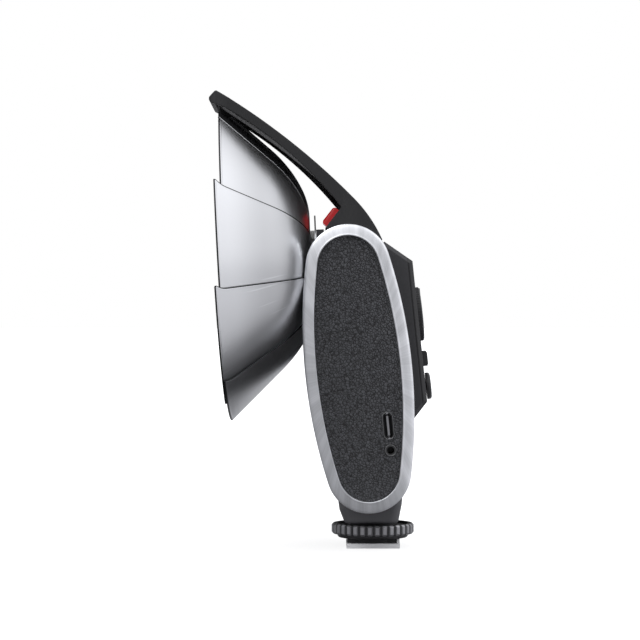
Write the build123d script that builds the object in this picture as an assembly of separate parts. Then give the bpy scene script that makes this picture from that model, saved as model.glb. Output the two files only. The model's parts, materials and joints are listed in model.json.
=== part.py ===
from build123d import *
import math
import os

# Camera flash with a fan of nine metal leaves that opens into a round dish.
# Millimetres. The origin is the middle of the underside of the shoe foot, +Z is up,
# the dish faces -Y, and X runs across the body: the ports are on the +X side.

# Side ovals of the body
body_lean = 5.8
oval_centre_y = -5.45
oval_centre_z = 62.9
oval_half_depth = 18.25
oval_half_height = 49.5
oval_end_radius = 14.5
ring_band = 4.0
ring_inner = 23.6
ring_depth = 4.4
ring_outer = ring_inner + ring_depth
ring_bevel = 2.9
ring_round = 1.3
ring_lip = 0.4
panel_thickness = 2.2
leather_thickness = 1.0
seat_gap = 0.05

# Middle casing between the two sides
wall = 1.8
casing_inset = 1.6
casing_front_y = -19.55
casing_front_top = 110.4
front_wall_depth = 2.6
front_wall_flare = 3.0
front_wall_drop = 20.0
parting_u = 2.0
bulge_half_width = 19.0
bulge_lip = (2.3, 103.0)
bulge_brow = (3.6, 106.5)
bulge_top = (13.3, 99.8)
bulge_foot = (18.4, 51.4)
bulge_heel = (13.5, 45.1)
bulge_sole = (6.0, 43.0)
bulge_root_low = (0.0, 50.0)
bulge_root_high = (0.0, 98.0)
bulge_edge = 1.2
bulge_opening = 6.0

# Dish of leaves about its own axis
dish_y = -21.45
dish_z = 102.0
dish_tilt = 2.2
leaf_pitch_deg = 40.0
leaf_upper_half = 20.0
leaf_lower_half = 25.0
leaf_sheet = 0.2
leaf_gap = 0.05
leaf_corner = 3.2
leaf_eye_radius = 9.0
leaf_rims = (54.0, 55.2, 55.9, 54.8)
rim_slant = 0.95
root_radius = 14.0
root_arc = 26.0
root_angle = 29.0
side_arc = 45.0
side_angle = 47.0
guard_back = 0.7
guard_thickness = 0.6
guard_half_width = 8.0
guard_rim = 50.0
top_leaf_arc = 24.0
top_leaf_angle = 31.0
top_leaf_side_arc = 47.0
top_leaf_side_angle = 54.0
top_leaf_rim = 49.8
top_leaf_half = 21.5
top_leaf_sheet = 0.3
top_leaf_corner = 1.5

# Hub and lamp on the dish axis
hub_radius = 6.0
hub_bore = 4.6
hub_fit = 0.05
hub_seat = 2.4
hub_hole_depth = 20.0
disc_radius = 14.2
disc_thickness = 0.5
nut_radius = 8.4
nut_thickness = 1.2
lamp_radius = 10.5
lamp_length = 6.0
lamp_wall = 1.0
cup_floor = 0.8
lens_dome = 3.4
lens_wall = 1.0
lens_rim = 1.6
lens_skirt = 1.2
tube_radius = 1.6
tube_span = 11.0
tube_lift = 1.3
tube_round = 0.5

# Arm that covers the folded leaves, between the two sides
arm_side_gap = 1.0
arm_half_width = ring_inner - arm_side_gap
arm_skin = 1.4
arm_tip_round = 8.0
arm_tip_room = 0.5
liner_gap = 0.1
liner_sheet = 0.8
pin_y = -8.0
pin_z = 104.1
pin_radius = 1.5
pin_fit = 0.05
pin_cover = 0.6
arm_root_radius = 8.4
pocket_gap = 0.5
pocket_wall = 1.4

# Release button on the arm's slanted face
button_length = 7.0
button_width = 11.0
button_proud = 2.6
button_depth = 3.6
button_fit = 0.1
button_travel = 1.2
button_down = 4.2
button_round = 1.1

# Rear controls
dial_z = 81.5
dial_radius = 9.4
dial_proud = 1.85
dial_stem = 2.5
dial_edge = 0.4
pointer_width = 1.0
pointer_length = 2.4
pointer_proud = 0.25
pointer_inset = 1.6
encoder_size = 9.0
encoder_depth = 2.0
switch_z = 65.9
switch_height = 8.4
switch_width = 12.0
switch_proud = 1.85
switch_stem_width = 3.0
switch_stem_height = 3.4
switch_stem_tail = 1.0
switch_travel = 1.6
test_z = 56.2
test_radius = 4.7
test_proud = 2.4
test_stem = 1.6
test_round = 0.9
test_travel = 0.8
board_clear = 0.2
control_fit = 0.1
standoff = 0.15

# Neck, lock ring and shoe foot
neck_bottom = 8.9
neck_top = 26.0
neck_half_width = 13.0
neck_heel = 8.6
neck_heel_bend = (9.9, 15.4)
neck_back = 10.8
neck_front = -13.6
neck_throat = (-12.3, 17.2)
neck_chin = (-11.8, 13.7)
neck_toe = -9.9
neck_corner = 3.0
neck_foot_round = 1.2
stem_socket = 8.0
lock_radius = 14.45
lock_bottom = 4.5
lock_top = 8.2
lock_edge = 0.6
lock_face_wall = 2.0
lock_face_depth = 0.8
lock_flutes = 34
flute_radius = 0.8
flute_depth = 0.45
washer_radius = 12.35
washer_bottom = 3.3
washer_edge = 0.4
stem_radius = 7.9
stem_fit = 0.08
foot_length = 18.5
foot_width = 18.6
foot_plate_thickness = 1.65
foot_lip = 0.9
foot_lip_width = 12.0
foot_lip_top = 3.0
foot_block_length = 17.0
foot_block_width = 12.4
foot_block_shift = 0.3
foot_block_clear = 0.2
contact_radius = 1.2
contact_seat = 2.6
contact_recess = 0.1
contact_depth = 3.0
insulator_recess = 0.2
foot_screw_radius = 0.9
foot_screw_x = 7.6
foot_screw_y = 6.9
screw_recess = 0.15

# Ports on the +X side, in the body's own leaning frame
port_u = 8.1
usb_v = -20.3
usb_long = 8.94
usb_short = 3.26
usb_shell = 0.35
usb_depth = 6.5
usb_back = 0.8
usb_tongue_ends = 1.15
usb_tongue = 0.7
usb_tongue_inset = 1.4
jack_v = -28.7
jack_collar = 2.0
jack_body = 3.0
jack_bore = 1.25
jack_depth = 12.0
jack_back = 1.0
jack_proud = 0.3

# Pieces inside the casing
capacitor_radius = 7.6
capacitor_length = 36.0
capacitor_z = 72.0
capacitor_edge = 0.6
battery_width = 38.0
battery_height = 28.0
battery_depth = 11.0
battery_z = 49.0
battery_round = 1.5
board_thickness = 1.2
board_width = 34.0
board_height = 46.0
board_z = 60.0
coil_size = 9.0
coil_length = 11.0
coil_lift = 4.0
control_board_width = 30.0
control_board_height = 44.0
control_board_z = 73.0

# Farther than any piece reaches, for cuts that run right through
beyond = 150.0
on_base = (Align.CENTER, Align.CENTER, Align.MIN)
under_top = (Align.CENTER, Align.CENTER, Align.MAX)

os.makedirs("parts", exist_ok=True)


def turned(y, z, degrees):
    """Plane across the body at (y, z): its Y axis leans forward by degrees, its Z is +X."""
    c = math.cos(math.radians(degrees))
    s = math.sin(math.radians(degrees))
    return Plane(origin=(0, y, z), x_dir=(0, c, s), z_dir=(1, 0, 0))


side_plane = Plane.YZ
body_plane = turned(oval_centre_y, oval_centre_z, body_lean)
front_plane = turned(casing_front_y, dish_z, dish_tilt)
tilt = math.radians(dish_tilt)
dish_plane = Plane(
    origin=(0, dish_y, dish_z),
    x_dir=(1, 0, 0),
    z_dir=(0, -math.cos(tilt), -math.sin(tilt)),
)
rear_dy = bulge_foot[0] - bulge_top[0]
rear_dz = bulge_foot[1] - bulge_top[1]
rear_length = math.hypot(rear_dy, rear_dz)


def rear_plane(z):
    """Plane on the sloping rear face at the height z, facing out."""
    y = bulge_top[0] + (z - bulge_top[1]) * rear_dy / rear_dz
    normal = (0, -rear_dz / rear_length, rear_dy / rear_length)
    return Plane(origin=(0, y, z), x_dir=(-1, 0, 0), z_dir=normal)


def save(shape, name):
    """Write one piece, or a group of like pieces, as one STEP file."""
    solids = shape.solids()
    item = solids[0] if len(solids) == 1 else Compound(children=list(solids))
    export_step(item, "parts/" + name + ".step")
    print(name, len(solids), round(sum(s.volume for s in solids), 1))


def polygon(*points):
    return make_face(Polyline(*points, close=True))


def oval(inset):
    """Four-centre oval of the body's side, drawn in by inset."""
    a = oval_half_depth - inset
    b = oval_half_height - inset
    r = oval_end_radius - inset
    flank = (a * a - r * r + (b - r) ** 2) / (2 * (a - r))
    jx = (flank - a) * r / (flank - r)
    jy = (b - r) + (b - r) * r / (flank - r)
    return make_face([
        ThreePointArc((-jx, jy), (0, b), (jx, jy)),
        ThreePointArc((jx, jy), (a, 0), (jx, -jy)),
        ThreePointArc((jx, -jy), (0, -b), (-jx, -jy)),
        ThreePointArc((-jx, -jy), (-a, 0), (-jx, jy)),
    ])


def slab(face, x0, x1, plane=side_plane):
    """Extrude a side view drawn on plane from x0 to x1 across the body."""
    return extrude(plane * Pos(0, 0, x0) * face, x1 - x0, dir=(1, 0, 0))


def across(face, half, plane=side_plane):
    return slab(face, -half, half, plane)


def edges_at(shape, x, near):
    """Edges of shape in the plane X = x that lie on the outline near."""
    outline = (body_plane * Pos(0, 0, x) * near).wire()
    flat = shape.edges().filter_by(lambda e: abs(e.center().X - x) < 0.01)
    return [e for e in flat if e.distance_to(outline) < 0.01]


# Side rings, panels and leather, right (+X) and left
side_ring = slab(oval(0), ring_inner, ring_outer, body_plane)
side_ring = chamfer(edges_at(side_ring, ring_inner, oval(0)), ring_bevel)
side_ring = fillet(edges_at(side_ring, ring_outer, oval(0)), ring_round)
side_ring -= slab(oval(ring_band), ring_inner, ring_outer, body_plane)
side_ring = chamfer(edges_at(side_ring, ring_outer, oval(ring_band)), ring_lip)
save(side_ring, "side_ring_right")
save(mirror(side_ring, Plane.YZ), "side_ring_left")

panel_outer = ring_inner + panel_thickness
leather_outer = panel_outer + leather_thickness
panel_face = oval(ring_band + seat_gap)
pin_local = body_plane.to_local_coords(Vector(0, pin_y, pin_z))
pin_at = Pos(pin_local.X, pin_local.Y)
pin_end = panel_outer - pin_cover
panel = slab(panel_face, ring_inner, panel_outer, body_plane)
panel -= slab(pin_at * Circle(pin_radius), ring_inner, pin_end, body_plane)
leather = slab(panel_face, panel_outer, leather_outer, body_plane)
save(mirror(panel, Plane.YZ), "side_panel_left")
save(mirror(leather, Plane.YZ), "leather_left")

usb_at = Pos(port_u, usb_v) * Rot(0, 0, 90)
jack_at = Pos(port_u, jack_v)
usb_hole = usb_at * SlotOverall(usb_long + 2 * seat_gap, usb_short + 2 * seat_gap)
ports = usb_hole + jack_at * Circle(jack_collar + seat_gap)
panel -= slab(usb_hole, ring_inner, panel_outer, body_plane)
panel -= slab(jack_at * Circle(jack_body + seat_gap), ring_inner, panel_outer, body_plane)
leather -= slab(ports, panel_outer, leather_outer, body_plane)
save(panel, "side_panel_right")
save(leather, "leather_right")

# USB-C socket: metal shell with its tongue
usb_floor = leather_outer - usb_depth
usb_outside = usb_at * SlotOverall(usb_long, usb_short)
usb_inside = usb_at * SlotOverall(usb_long - 2 * usb_shell, usb_short - 2 * usb_shell)
tongue = usb_at * Rectangle(usb_long - 2 * usb_tongue_ends, usb_tongue)
usb = slab(usb_outside, usb_floor - usb_back, leather_outer, body_plane)
usb -= slab(usb_inside, usb_floor, leather_outer, body_plane)
usb += slab(tongue, usb_floor, leather_outer - usb_tongue_inset, body_plane)
save(usb, "usb_socket")

# Sync jack: a barrel behind the panel with its collar just proud of the leather
jack_front = leather_outer + jack_proud
jack_end = leather_outer - jack_depth
jack = slab(jack_at * Circle(jack_body), jack_end - jack_back, panel_outer, body_plane)
jack += slab(jack_at * Circle(jack_collar), panel_outer, jack_front, body_plane)
jack -= slab(jack_at * Circle(jack_bore), jack_end, jack_front, body_plane)
save(jack, "sync_jack")

# Neck: a tapered block that carries the foot
neck_side = polygon(
    (neck_toe, neck_bottom), (neck_heel, neck_bottom), neck_heel_bend,
    (neck_back, neck_top), (neck_front, neck_top), neck_throat, neck_chin,
)
neck = across(neck_side, neck_half_width)
neck = fillet(neck.edges().filter_by(lambda e: abs(e.tangent_at(0.5).Z) > 0.9), neck_corner)
neck = fillet(neck.edges().group_by(Axis.Z)[0], neck_foot_round)
neck_blank = neck
neck -= Pos(0, 0, neck_bottom) * Cylinder(stem_radius, stem_socket, align=on_base)
save(neck, "neck")

# Middle casing: an oval barrel, flat in front for the dish, split into two shells
front_top = casing_front_top - dish_z


def behind_front(inset):
    """Side view of what lies behind the flat front face, in the front's own frame."""
    top = front_top - inset
    return polygon((inset, top), (beyond, top), (beyond, -beyond), (inset, -beyond))


def casing_solid(inset, half):
    body = across(oval(casing_inset + inset), half, body_plane)
    return body & across(behind_front(inset), half, front_plane)


front_block = polygon(
    (0, front_top), (front_wall_depth, front_top),
    (front_wall_depth + front_wall_flare, -front_wall_drop), (0, -front_wall_drop),
)
pin_side = Pos(pin_y, pin_z)
pocket_radius = arm_root_radius + pocket_gap
pocket = across(pin_side * Circle(pocket_radius), ring_inner)
pocket_front = casing_front_y + front_wall_depth
above_pin = polygon((pocket_front, pin_z), (pocket_front, beyond), (beyond, beyond), (beyond, pin_z))
casing = casing_solid(0, ring_inner) + across(front_block, ring_inner, front_plane)
pocket_back = across(pin_side * Circle(pocket_radius + pocket_wall), ring_inner) & casing
casing = casing - casing_solid(wall, ring_inner) + pocket_back
casing = casing - pocket - across(above_pin, ring_inner) - neck_blank
hub_hole = Pos(0, 0, -hub_hole_depth) * Cylinder(hub_radius, 1.5 * hub_hole_depth, align=on_base)
casing -= dish_plane * hub_hole

behind_parting = Pos(parting_u + beyond / 2, 0) * Rectangle(beyond, 2 * beyond)
rear_half = slab(behind_parting, -ring_inner, ring_inner, body_plane)
front_shell = casing - rear_half
save(front_shell, "front_shell")

bulge_outline = polygon(
    bulge_lip, bulge_brow, bulge_top, bulge_foot, bulge_heel,
    bulge_sole, bulge_root_low, bulge_root_high,
)
bulge = across(bulge_outline, bulge_half_width)
behind_brow = bulge_brow[0] + bulge_edge
rear_edges = bulge.edges().filter_by(lambda e: e.center().Y > behind_brow and abs(e.center().X) > 1)
bulge = chamfer(rear_edges, bulge_edge)
hollow_outline = offset(bulge_outline, -wall, kind=Kind.INTERSECTION)
bulge_hollow = across(hollow_outline, bulge_half_width - wall)
bulge_hollow += across(Pos(-bulge_opening, 0) * hollow_outline, bulge_half_width - wall)
rear_cover = (casing & rear_half) + (bulge & rear_half) - bulge_hollow - pocket

dial_plane = rear_plane(dial_z)
switch_plane = rear_plane(switch_z)
test_plane = rear_plane(test_z)
slot_width = switch_stem_width + 2 * control_fit
slot_height = switch_stem_height + 2 * switch_travel + 2 * control_fit
through_wall = 4 * wall
rear_cover -= dial_plane * Cylinder(dial_stem + control_fit, through_wall)
rear_cover -= switch_plane * Box(slot_width, slot_height, through_wall)
rear_cover -= test_plane * Cylinder(test_stem + control_fit, through_wall)
save(rear_cover, "rear_cover")

# Rear controls: dial, slide switch and round test button
dial = dial_plane * Pos(0, 0, standoff) * Cylinder(dial_radius, dial_proud, align=on_base)
dial_top_edges = dial.edges().filter_by(GeomType.CIRCLE).sort_by(Axis.Y)[-1]
dial = chamfer(dial_top_edges, dial_edge)
stem_depth = wall + encoder_depth / 2
dial += dial_plane * Pos(0, 0, -stem_depth) * Cylinder(dial_stem, stem_depth + standoff, align=on_base)
dial += dial_plane * Pos(0, dial_radius - pointer_inset, dial_proud + standoff) * Box(
    pointer_width, pointer_length, 2 * pointer_proud
)
save(dial, "mode_dial")

encoder_body = Box(encoder_size, encoder_size, encoder_depth, align=under_top)
encoder = dial_plane * Pos(0, 0, -wall) * encoder_body
encoder -= dial_plane * Cylinder(dial_stem + control_fit, beyond)
save(encoder, "dial_encoder")

slider = switch_plane * Pos(0, 0, standoff) * Box(
    switch_width, switch_height - 2 * switch_travel, switch_proud, align=on_base
)
slider += switch_plane * Pos(0, 0, standoff) * Box(
    switch_stem_width, switch_stem_height, wall + standoff + switch_stem_tail, align=under_top
)
save(slider, "power_slider")

test_button = test_plane * Pos(0, 0, test_travel + standoff) * Cylinder(
    test_radius, test_proud - test_travel, align=on_base
)
test_rim = test_button.edges().filter_by(GeomType.CIRCLE).sort_by(Axis.Y)[-1]
test_button = fillet(test_rim, test_round)
test_depth = wall + encoder_depth - test_travel - board_clear
test_button += test_plane * Pos(0, 0, test_travel + standoff) * Cylinder(
    test_stem, test_depth + test_travel, align=under_top
)
save(test_button, "test_button")

control_board = rear_plane(control_board_z) * Pos(0, 0, -wall - encoder_depth) * Box(
    control_board_width, control_board_height, board_thickness, align=under_top
)
save(control_board, "control_board")

# Power pieces behind the front wall
def inside(z, depth):
    """Place at the height z and the depth behind the inner face of the front wall."""
    return front_plane * Pos(wall + depth, z - dish_z, 0)


battery_block = Box(battery_depth, battery_height, battery_width)
battery = inside(battery_z, battery_depth / 2 + seat_gap) * battery_block
battery = fillet(battery.edges().filter_by(Axis.X), battery_round)
save(battery, "battery")
capacitor_can = Cylinder(capacitor_radius, capacitor_length)
capacitor = inside(capacitor_z, capacitor_radius + seat_gap) * capacitor_can
capacitor = chamfer(capacitor.edges().filter_by(GeomType.CIRCLE), capacitor_edge)
save(capacitor, "main_capacitor")
board_depth = 2 * capacitor_radius + 2 * seat_gap
board_sheet = Box(board_thickness, board_height, board_width)
main_board = inside(board_z, board_depth + board_thickness / 2) * board_sheet
save(main_board, "main_board")
coil_gap = board_depth - battery_depth - seat_gap
coil_block = Box(coil_gap - seat_gap, coil_size, coil_length)
coil = inside(battery_z + coil_lift, board_depth - coil_gap / 2) * coil_block
save(coil, "charge_transformer")

# Hub on the dish axis: steel disc, tube and nut that hold the stack of leaf eyes
levels = 8
pitch = leaf_sheet + leaf_gap
stack_back = guard_back - leaf_gap - leaf_sheet - (levels - 1) * pitch
top_leaf_back = guard_back + guard_thickness
stack_front = top_leaf_back + top_leaf_sheet


def ring_on_axis(outer, inner, low, high):
    """Ring about the dish axis between two distances in front of the dish plane."""
    blank = Cylinder(outer, high - low, align=on_base)
    if inner > 0:
        blank -= Cylinder(inner, high - low, align=on_base)
    return Pos(0, 0, low) * blank


disc_back = stack_back - leaf_gap - disc_thickness
hub_disc = ring_on_axis(disc_radius, hub_radius, disc_back, disc_back + disc_thickness)
save(dish_plane * hub_disc, "hub_disc")
hub_back = disc_back - hub_seat
nut_low = stack_front + leaf_gap
nut_high = nut_low + nut_thickness
hub_tube = ring_on_axis(hub_radius, hub_bore, hub_back, nut_high)
save(dish_plane * hub_tube, "hub_tube")
hub_nut = ring_on_axis(nut_radius, hub_radius, nut_low, nut_high)
save(dish_plane * hub_nut, "hub_nut")

lamp_low = nut_high
lamp_high = lamp_low + lamp_length
lamp = ring_on_axis(lamp_radius, 0, lamp_low, lamp_high)
lamp -= ring_on_axis(lamp_radius - lamp_wall, 0, lamp_low + lamp_wall, lamp_high + lamp_wall)
save(dish_plane * lamp, "lamp_housing")

cup_radius = lamp_radius - lamp_wall - seat_gap
cup_low = lamp_low + lamp_wall + seat_gap
cup_high = lamp_high - lens_wall
cup_depth = cup_high - cup_low
cup = ring_on_axis(cup_radius, 0, cup_low, cup_high)
cup_sphere = (cup_radius ** 2 + cup_depth ** 2) / (2 * cup_depth)
cup -= Pos(0, 0, cup_low + cup_floor + cup_sphere) * Sphere(cup_sphere)
save(dish_plane * cup, "lamp_reflector")

tube_at = cup_low + cup_floor + tube_radius + tube_lift
flash_tube = Pos(0, 0, tube_at) * Rot(0, 90, 0) * Cylinder(tube_radius, tube_span)
flash_tube = fillet(flash_tube.edges().filter_by(GeomType.CIRCLE), tube_round)
save(dish_plane * flash_tube, "flash_tube")

dome_radius = (lamp_radius ** 2 + lens_dome ** 2) / (2 * lens_dome)
dome_centre = lamp_high + lens_dome - dome_radius
lens_reach = lamp_high + 2 * lens_dome
lens = Pos(0, 0, dome_centre) * Sphere(dome_radius)
lens &= ring_on_axis(lamp_radius, 0, lamp_high, lens_reach)
lens_hollow = Pos(0, 0, dome_centre - lens_wall) * Sphere(dome_radius)
lens -= lens_hollow & ring_on_axis(lamp_radius - lens_rim, 0, lamp_high, lens_reach)
lens += ring_on_axis(cup_radius, cup_radius - lens_skirt, cup_high + seat_gap, lamp_high)
save(dish_plane * lens, "lamp_lens")


# Leaves: each is a sector of its own shell of revolution, nested about one axis
flank_reach = 40.0
prism_back = 10.0
prism = 60.0
eye_bore = hub_radius + hub_fit


def profile(back, arc1, angle1, arc2, angle2, out):
    """Edges of a dish outline: flat root, two tangent arcs and a straight flank.

    out is how far the outline lies outside the base curve.
    """
    t1 = math.radians(angle1)
    t2 = math.radians(angle2)
    c1 = (root_radius, back + arc1)
    c2 = (c1[0] - (arc2 - arc1) * math.sin(t1), c1[1] + (arc2 - arc1) * math.cos(t1))
    r1 = arc1 + out
    r2 = arc2 + out
    start = (0, back - out)
    flat = (root_radius, back - out)
    p1 = (c1[0] + r1 * math.sin(t1), c1[1] - r1 * math.cos(t1))
    p2 = (c2[0] + r2 * math.sin(t2), c2[1] - r2 * math.cos(t2))
    end = (p2[0] + flank_reach * math.cos(t2), p2[1] + flank_reach * math.sin(t2))
    m1 = (c1[0] + r1 * math.sin(t1 / 2), c1[1] - r1 * math.cos(t1 / 2))
    tm = (t1 + t2) / 2
    m2 = (c2[0] + r2 * math.sin(tm), c2[1] - r2 * math.cos(tm))
    root_curve = ThreePointArc(flat, m1, p1)
    side_curve = ThreePointArc(p1, m2, p2)
    return [Line(start, flat), root_curve, side_curve, Line(p2, end)], start, end


def shell_of_revolution(low, high):
    """Solid between two dish outlines, turned about the dish axis."""
    low_edges, low_start, low_end = low
    high_edges, high_start, high_end = high
    face = make_face(low_edges + high_edges + [Line(low_start, high_start), Line(low_end, high_end)])
    return revolve(Plane.XZ * face, Axis.Z, 360)


def leaf_outline(low_deg, high_deg, rim, slant, corner, inner):
    """Front view of a leaf: angles run clockwise from its middle, seen from the front."""
    far = rim * 1.4
    middle = (low_deg + high_deg) / 2
    spots = [
        (far * math.sin(math.radians(t)), far * math.cos(math.radians(t)))
        for t in (low_deg, middle, high_deg)
    ]
    wedge = polygon((0, 0), *spots)
    lean = math.radians(low_deg - 90)
    disc = Pos(slant * math.sin(lean), slant * math.cos(lean)) * Circle(rim)
    face = wedge & disc
    corners = face.vertices().filter_by(lambda v: v.center().length > rim / 2)
    upper = corners.sort_by(Axis.X)[0]
    face = fillet(upper, corner)
    lower = face.vertices().sort_by(Axis.X)[-1]
    face = fillet(lower, corner / 3)
    return face + Circle(leaf_eye_radius) - Circle(inner)


def guard_profile(out):
    return profile(guard_back, root_arc, root_angle, side_arc, side_angle, out)


def top_profile(out):
    return profile(
        top_leaf_back, top_leaf_arc, top_leaf_angle, top_leaf_side_arc, top_leaf_side_angle, out
    )


def cut_out(shell, outline):
    """The piece of a shell of revolution that lies behind an outline in the front view."""
    return shell & (Pos(0, 0, -prism_back) * extrude(outline, prism))


for number in range(1, levels // 2 + 1):
    for side, level in (("right", 2 * number), ("left", 2 * number - 1)):
        inner = leaf_gap + (level - 1) * pitch
        shell = shell_of_revolution(guard_profile(inner), guard_profile(inner + leaf_sheet))
        rim_growth = inner / math.sin(math.radians(side_angle))
        grown = leaf_outline(
            -leaf_upper_half, leaf_lower_half, leaf_rims[number - 1] + rim_growth,
            rim_slant, leaf_corner, eye_bore,
        )
        leaf = Rot(0, 0, -leaf_pitch_deg * number) * cut_out(shell, grown)
        if side == "left":
            leaf = mirror(leaf, Plane.YZ)
        save(dish_plane * leaf, "leaf_" + side + "_" + str(number))

top_shell = shell_of_revolution(top_profile(0), top_profile(-top_leaf_sheet))
top_outline = leaf_outline(
    -top_leaf_half, top_leaf_half, top_leaf_rim, 0, top_leaf_corner, eye_bore
)
top_leaf = cut_out(top_shell, top_outline)
save(dish_plane * top_leaf, "top_leaf")

guard_shell = shell_of_revolution(guard_profile(0), top_profile(0))
strip = Pos(0, guard_rim / 2) * Rectangle(2 * guard_half_width, guard_rim) & Circle(guard_rim)
strip = strip + Circle(leaf_eye_radius) - Circle(eye_bore)
guard = cut_out(guard_shell, strip)
save(dish_plane * guard, "guard_strip")

# Arm: a channel-shaped cover on a lateral pin, with an inner liner
tip_nose = (-57.1, 155.9)
tip_top = (-54.4, 158.4)
tip_lip = (-56.3, 154.4)
back_middle = (-27.4, 139.7)
arm_shoulder = (-6.9, 121.2)
nape_middle = (-0.4, 113.0)
arm_heel = (2.8, 107.0)
face_top = (-11.2, 118.2)
face_bottom = (-16.7, 111.1)
chin = (-16.3, 111.0)
skirt_middle = (-31.5, 138.8)
skirt_tip = (-51.4, 152.4)
root_back = (0.2, pin_z)
channel_front = -54.6
channel_front_low = 146.0
channel_front_high = 165.0
channel_back = (-8.0, 124.0)

arm_back = ThreePointArc(tip_top, back_middle, arm_shoulder)
arm_side = make_face([
    Line(tip_nose, tip_top),
    arm_back,
    ThreePointArc(arm_shoulder, nape_middle, arm_heel),
    Line(arm_heel, root_back),
    Line(root_back, (pin_y, pin_z)),
    Line((pin_y, pin_z), (chin[0], pin_z)),
    Line((chin[0], pin_z), chin),
    Line(chin, face_bottom),
    Line(face_bottom, face_top),
    ThreePointArc(face_top, skirt_middle, skirt_tip),
    Line(skirt_tip, tip_lip),
    Line(tip_lip, tip_nose),
])


def under_back(depth):
    """Everything in the side view deeper than depth under the arm's curved back."""
    return Pos(arm_back.arc_center) * Circle(arm_back.radius - depth)


def arm_plan(half, front, corner):
    """Plan of the arm with round corners at the tip, drawn up to the full height."""
    plan = Pos(0, front) * Rectangle(2 * half, beyond, align=(Align.CENTER, Align.MIN))
    plan = fillet(plan.vertices().sort_by(Axis.Y)[:2], corner)
    return extrude(plan, 2 * beyond)


arm = across(arm_side, arm_half_width) + across(pin_side * Circle(arm_root_radius), arm_half_width)
liner_half = arm_half_width - arm_skin
channel_region = polygon(
    (channel_front, channel_front_high), channel_back, face_top, (channel_front, channel_front_low)
)
channel = across(channel_region & under_back(arm_skin), liner_half)
arm_front = tip_nose[0] - arm_tip_room
arm -= channel & arm_plan(liner_half, arm_front + arm_skin, arm_tip_round - arm_skin)
arm = arm & arm_plan(arm_half_width, arm_front, arm_tip_round)
arm -= across(pin_side * Circle(pin_radius + pin_fit), ring_inner)

liner_region = offset(channel_region, -liner_gap, kind=Kind.INTERSECTION)
liner_top = arm_skin + liner_gap
liner_side = (liner_region & under_back(liner_top)) - under_back(liner_top + liner_sheet)
liner = across(liner_side, liner_half - liner_gap)
liner = liner & arm_plan(liner_half - liner_gap, arm_front + liner_top, arm_tip_round - liner_top)
save(liner, "arm_liner")

face_dy = face_bottom[0] - face_top[0]
face_dz = face_bottom[1] - face_top[1]
face_length = math.hypot(face_dy, face_dz)
down_face = (face_dy / face_length, face_dz / face_length)
button_y = face_top[0] + down_face[0] * button_down
button_z = face_top[1] + down_face[1] * button_down
button_plane = Plane(
    origin=(0, button_y, button_z),
    x_dir=(1, 0, 0),
    z_dir=(0, down_face[1], -down_face[0]),
)
pocket_depth = button_depth + button_travel
arm -= button_plane * Box(
    button_width + 2 * button_fit, button_length + 2 * button_fit, 2 * pocket_depth
)
save(arm, "arm_shell")


def on_button_face(edge):
    """True for the edges round the face of the button that a thumb meets."""
    return button_plane.to_local_coords(edge.center()).Z > button_proud - 0.01


red_button = button_plane * Pos(0, 0, -button_depth) * Box(
    button_width, button_length, button_proud + button_depth, align=on_base
)
red_button = fillet(red_button.edges().filter_by(on_button_face), button_round)
save(red_button, "red_button")

arm_pin = across(pin_side * Circle(pin_radius), pin_end)
save(arm_pin, "arm_pin")

# Shoe foot, its stem, the pressure washer and the knurled lock ring
foot_block_height = washer_bottom - foot_block_clear - foot_plate_thickness
foot_block = Pos(0, -foot_block_shift, foot_plate_thickness) * Box(
    foot_block_width, foot_block_length, foot_block_height, align=on_base
)
stem_length = neck_bottom + stem_socket - foot_plate_thickness
foot_block += Pos(0, 0, foot_plate_thickness) * Cylinder(stem_radius, stem_length, align=on_base)
foot_block -= Pos(0, 0, foot_plate_thickness) * Cylinder(contact_radius, contact_depth, align=on_base)
save(foot_block, "foot_block")

foot_plate = Box(foot_width, foot_length, foot_plate_thickness, align=on_base)
foot_plate += Pos(0, foot_length / 2 - foot_lip / 2, 0) * Box(
    foot_lip_width, foot_lip, foot_lip_top, align=on_base
)
foot_plate -= Cylinder(contact_seat, beyond)
screw_spots = [(sx * foot_screw_x, sy * foot_screw_y) for sx in (-1, 1) for sy in (-1, 1)]
screw = Cylinder(foot_screw_radius, foot_plate_thickness - screw_recess, align=on_base)
for x, y in screw_spots:
    foot_plate -= Pos(x, y) * Cylinder(foot_screw_radius, beyond)
save(foot_plate, "foot_plate")
save(Compound(children=[Pos(x, y, screw_recess) * screw for x, y in screw_spots]), "foot_screws")

contact_length = foot_plate_thickness + contact_depth - contact_recess
contact = Pos(0, 0, contact_recess) * Cylinder(contact_radius, contact_length, align=on_base)
save(contact, "centre_contact")
insulator_height = foot_plate_thickness - insulator_recess
insulator = Pos(0, 0, insulator_recess) * Cylinder(contact_seat, insulator_height, align=on_base)
insulator -= Cylinder(contact_radius, beyond)
save(insulator, "contact_insulator")

washer_height = lock_bottom - washer_bottom
washer = Pos(0, 0, washer_bottom) * Cylinder(washer_radius, washer_height, align=on_base)
washer = chamfer(washer.edges().group_by(Axis.Z)[0], washer_edge)
washer -= Cylinder(stem_radius + stem_fit, beyond)
opening_width = foot_block_width + 2 * seat_gap
opening_back = foot_length / 2 + seat_gap
opening_length = opening_back + foot_block_length / 2 + foot_block_shift + seat_gap
washer -= Pos(0, opening_back - opening_length / 2) * Box(opening_width, opening_length, beyond)
save(washer, "lock_washer")

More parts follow.
